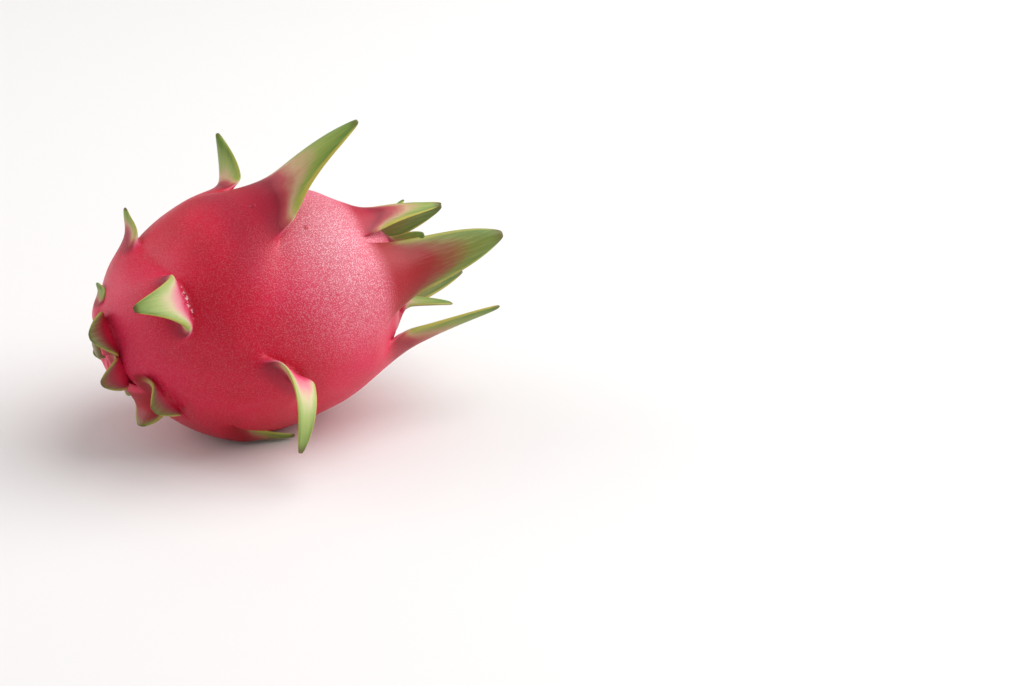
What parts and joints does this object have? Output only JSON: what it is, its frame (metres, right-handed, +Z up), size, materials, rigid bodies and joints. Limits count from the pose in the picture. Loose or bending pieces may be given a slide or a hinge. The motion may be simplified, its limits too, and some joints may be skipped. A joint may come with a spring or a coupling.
{
  "type": "dragon fruit",
  "caption": "Whole red dragon fruit lying on its side, with leafy scales that are short round the stem and long at the crown.",
  "frame": {"origin": "on the surface the fruit lies on, under the middle of its bounding box", "axes": "+X from the stem end to the crown, +Z up, and the side that the picture shows faces -Y"},
  "size_m": [0.1424, 0.1288, 0.1053],
  "materials": {
    "skin": "satin"
  },
  "bodies": {
    "root": {"fruit": "skin"}
  },
  "joints": []
}
